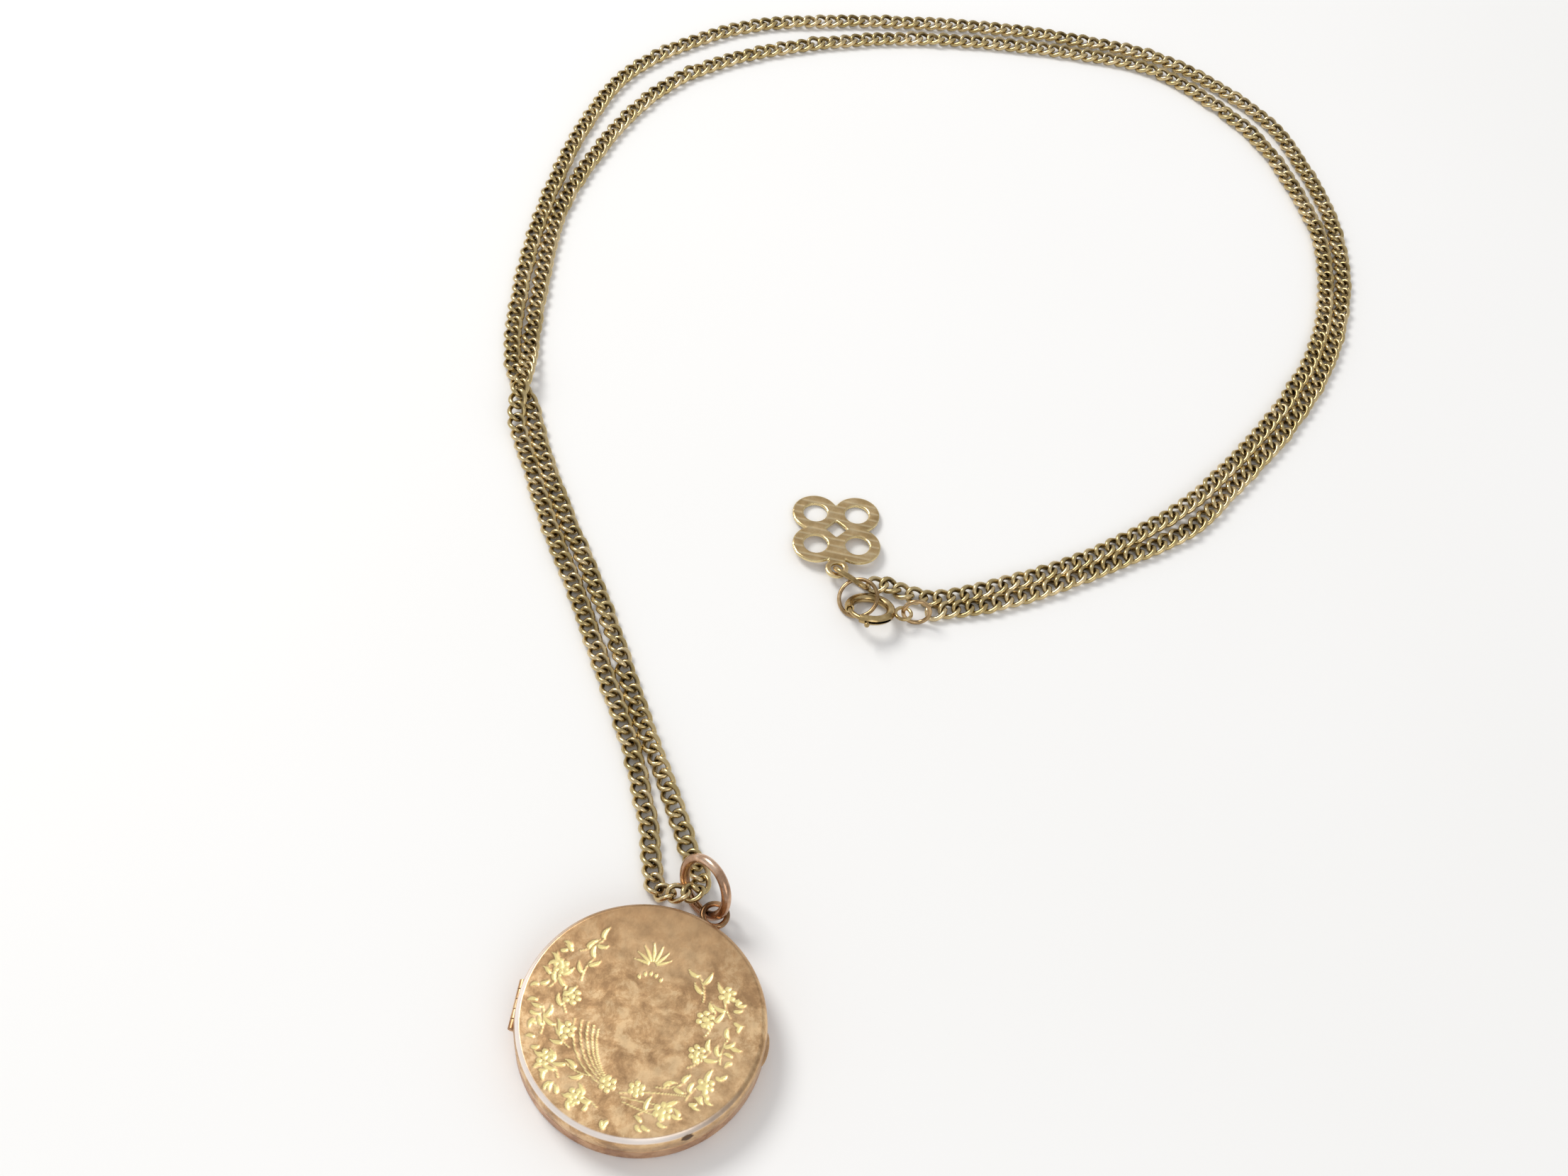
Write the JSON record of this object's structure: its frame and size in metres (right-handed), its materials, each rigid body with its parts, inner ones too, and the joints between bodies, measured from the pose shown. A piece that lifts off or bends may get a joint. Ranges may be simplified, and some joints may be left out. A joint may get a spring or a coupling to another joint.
{
  "type": "round hinged locket on a chain",
  "caption": "Round engraved two-part photo locket, closed and lying flat, on a long curb chain with a bolt ring clasp and a small openwork charm.",
  "frame": {"origin": "centre of the back cover's underside, where the closed locket rests on the table", "axes": "+Z leaves the engraved front, the hinge is on the -X side with its axis parallel to Y, the thumb lip is at +X, and +Y is up in the engraved design; the chain leads away along +Y"},
  "size_m": [0.1099, 0.1771, 0.0069],
  "materials": {
    "rose_gold": "satin rose gold, lightly scratched and mottled",
    "yellow_gold": "polished yellow gold with darker recesses",
    "copper_gold": "polished red gold",
    "window": "clear, thin",
    "card": "matt card",
    "spring_steel": "bright spring wire"
  },
  "bodies": {
    "back": {"back_cover": "rose_gold", "closing_rim": "rose_gold", "back_hinge_knuckles": "rose_gold", "hinge_pin": "rose_gold", "hanging_loop": "rose_gold", "back_photo_frame": "rose_gold", "back_window": "window", "back_card": "card", "neck_chain": "yellow_gold"},
    "lid": {"front_cover": "rose_gold", "front_hinge_knuckles": "rose_gold", "thumb_lip": "rose_gold", "front_photo_frame": "rose_gold", "front_window": "window", "front_card": "card"},
    "bail": {"bail_ring": "copper_gold"},
    "connector": {"connector_ring": "copper_gold"},
    "bolt": {"bolt_ring_body": "yellow_gold", "bolt_ring_loop": "yellow_gold", "trigger_spring": "spring_steel"},
    "trigger": {"trigger_wire": "yellow_gold", "trigger_knob": "yellow_gold"},
    "charm_link": {"charm_ring": "yellow_gold"},
    "end_link": {"end_ring": "copper_gold"},
    "charm_piece": {"charm": "yellow_gold"}
  },
  "joints": [
    {"name": "cover_hinge", "type": "hinge", "parent": "back", "child": "lid", "pos_m": [-0.01245, 0, 0.00225], "axis": [0, -1, 0], "range_deg": [0, 170]},
    {"name": "bail_swing", "type": "hinge", "parent": "back", "child": "bail", "pos_m": [0.00435, 0.01436, 0.0019], "axis": [-0.5839, 0.8118, 0], "range_deg": [0, 5]},
    {"name": "connector_roll", "type": "hinge", "parent": "back", "child": "connector", "pos_m": [0.02149, 0.05518, 0.00179], "axis": [0.9914, 0.131, 0], "range_deg": [-3, 2]},
    {"name": "bolt_ring_swing", "type": "hinge", "parent": "connector", "child": "bolt", "pos_m": [0.0161, 0.0569, 0.00055], "axis": [1, 0, 0], "range_deg": [-6, 2]},
    {"name": "trigger_slide", "type": "hinge", "parent": "bolt", "child": "trigger", "pos_m": [0.0161, 0.05465, 0.00158], "axis": [0, 0.4068, 0.9135], "range_deg": [0, 54], "stiffness_Nm_per_rad": 0.0001, "springref_deg": -11.46},
    {"name": "charm_ring_rock", "type": "hinge", "parent": "back", "child": "charm_link", "pos_m": [0.01339, 0.05867, 0.00139], "axis": [-0.3891, -0.7321, -0.5591], "range_deg": [-3, 1]},
    {"name": "end_ring_swing", "type": "hinge", "parent": "charm_link", "child": "end_link", "pos_m": [0.01453, 0.05619, 0.00122], "axis": [0.53, -0.848, 0], "range_deg": [-3, 2]},
    {"name": "charm_turn", "type": "hinge", "parent": "charm_link", "child": "charm_piece", "pos_m": [0.01152, 0.0597, 0.00134], "axis": [0, 0, 1], "range_deg": [-15, 15]}
  ]
}
